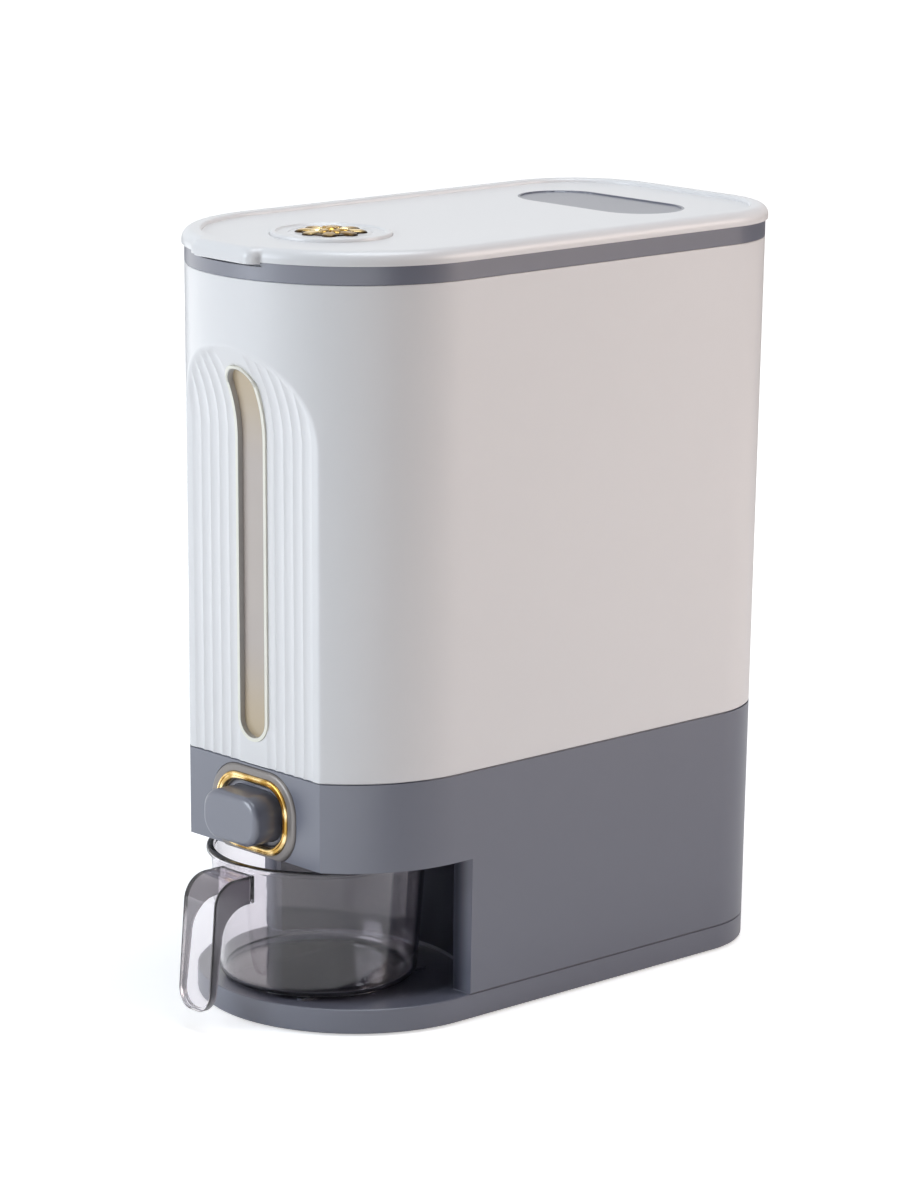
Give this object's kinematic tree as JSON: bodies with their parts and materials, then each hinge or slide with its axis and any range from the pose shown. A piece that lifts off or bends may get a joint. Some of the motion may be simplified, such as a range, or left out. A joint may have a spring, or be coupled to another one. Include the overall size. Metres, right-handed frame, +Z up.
{
  "type": "rice dispenser with drawer",
  "caption": "Tall grain dispenser with a lift-off lid, a level window, a push-button gate and a clear measuring cup that slides out of a bay under the spout.",
  "frame": {"origin": "on the floor, at the middle of the whole object's box", "axes": "+Z up, +X to the right as seen from the front, -Y to the front, where the cup and button are"},
  "size_m": [0.183, 0.3756, 0.4302],
  "materials": {
    "white_plastic": "satin",
    "slate_plastic": "satin",
    "greige_plastic": "satin",
    "cream_trim": "gloss",
    "window_clear": "gloss",
    "smoked_clear": "gloss",
    "gold": "polished",
    "rubber": "matt",
    "seal_rubber": "matt",
    "spring_steel": "satin"
  },
  "bodies": {
    "dispenser": {"base_plate": "slate_plastic", "foot_pads": "rubber", "base_screws": "spring_steel", "base_housing": "slate_plastic", "deck_plate": "slate_plastic", "deck_screws": "spring_steel", "outer_shell": "white_plastic", "window_trim": "cream_trim", "window_pane": "window_clear", "hopper_funnel": "white_plastic", "rim_collar": "slate_plastic", "bezel_collar": "greige_plastic", "button_bezel": "gold", "button_sleeve": "slate_plastic", "gate_guide": "slate_plastic", "gate_retainer": "slate_plastic", "guide_screws": "spring_steel", "return_spring": "spring_steel"},
    "button": {"button_cap": "slate_plastic", "gate_slider": "white_plastic"},
    "cup": {"measuring_cup": "smoked_clear"},
    "lid": {"lid_cover": "white_plastic", "lid_seal": "seal_rubber", "lid_pocket": "slate_plastic", "desiccant_basket": "white_plastic"},
    "cap": {"desiccant_cap": "white_plastic", "cap_seal": "seal_rubber", "cap_emblem": "gold"}
  },
  "joints": [
    {"name": "button_press", "type": "slide", "parent": "dispenser", "child": "button", "axis": [0, 1, 0], "range_m": [0, 0.012], "stiffness_N_per_m": 400, "springref_m": -0.006, "deforming": ["return_spring"]},
    {"name": "cup_slide", "type": "slide", "parent": "dispenser", "child": "cup", "axis": [0, -1, 0], "range_m": [0, 0.15]},
    {"name": "lid_lift", "type": "slide", "parent": "dispenser", "child": "lid", "axis": [0, 0, 1], "range_m": [0, 0.08]},
    {"name": "cap_twist", "type": "hinge", "parent": "lid", "child": "cap", "pos_m": [0, -0.091, 0.4255], "axis": [0, 0, 1], "range_deg": [0, 30]}
  ]
}
